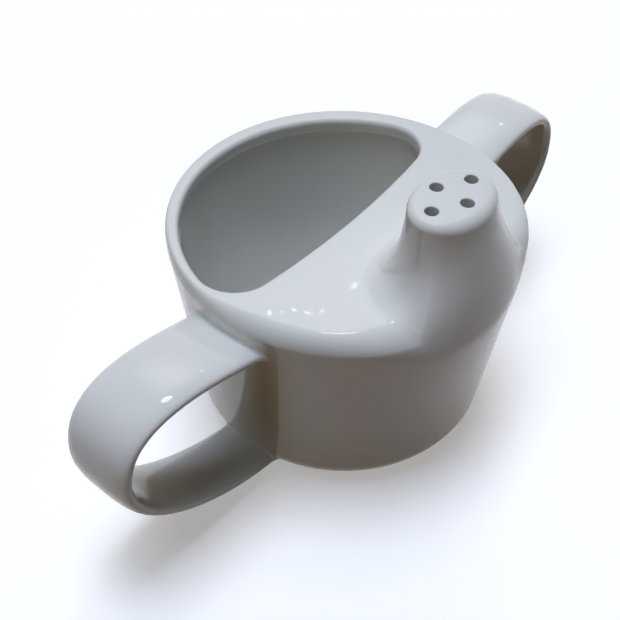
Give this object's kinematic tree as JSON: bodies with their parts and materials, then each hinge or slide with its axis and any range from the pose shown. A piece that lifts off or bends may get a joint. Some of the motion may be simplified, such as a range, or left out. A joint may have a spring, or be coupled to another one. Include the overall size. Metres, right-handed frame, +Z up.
{
  "type": "invalid feeder",
  "caption": "White glazed ceramic feeding cup for a bedridden patient, with a half cover, side strap handles and a short oval spout pierced with drinking holes.",
  "frame": {"origin": "centre of the foot ring on the table", "axes": "+Z up along the cup's axis, +X towards the right handle, -Y towards the spout, seen with the spout to the front"},
  "size_m": [0.1774, 0.092, 0.084],
  "materials": {
    "glazed_porcelain": "clear gloss glaze over white porcelain",
    "luting_slip": "fired slip under the same clear gloss glaze"
  },
  "bodies": {
    "root": {"cup_body": "glazed_porcelain", "half_cover": "glazed_porcelain", "spout": "glazed_porcelain", "left_handle": "glazed_porcelain", "right_handle": "glazed_porcelain", "cover_slip": "luting_slip", "spout_slip": "luting_slip", "left_upper_slip": "luting_slip", "left_lower_slip": "luting_slip", "right_upper_slip": "luting_slip", "right_lower_slip": "luting_slip"}
  },
  "joints": []
}
